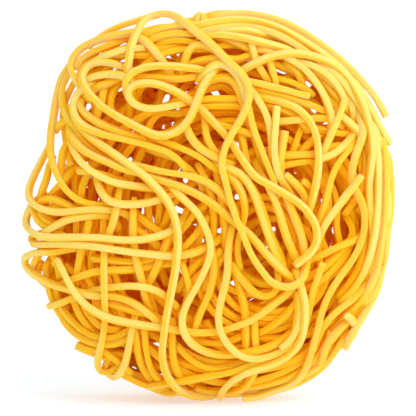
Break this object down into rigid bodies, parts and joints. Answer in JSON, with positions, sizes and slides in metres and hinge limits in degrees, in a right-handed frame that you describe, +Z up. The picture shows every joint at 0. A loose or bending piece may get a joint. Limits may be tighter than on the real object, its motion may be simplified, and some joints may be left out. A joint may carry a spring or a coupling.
{
  "type": "dry pasta nest",
  "caption": "Nest of thin dried egg pasta: long square-cut strands coiled and tangled into a thick round disc, standing on its rim.",
  "frame": {"origin": "on the floor, under the middle of the nest's bounding box", "axes": "+Z up the nest as it stands on its rim, +Y through it from the front face to the back, +X to the right as seen from the front"},
  "size_m": [0.0752, 0.036, 0.0789],
  "materials": {
    "pasta": "satin dry egg pasta, faint lengthwise grain"
  },
  "bodies": {
    "root": {"pasta_nest": "pasta"}
  },
  "joints": []
}
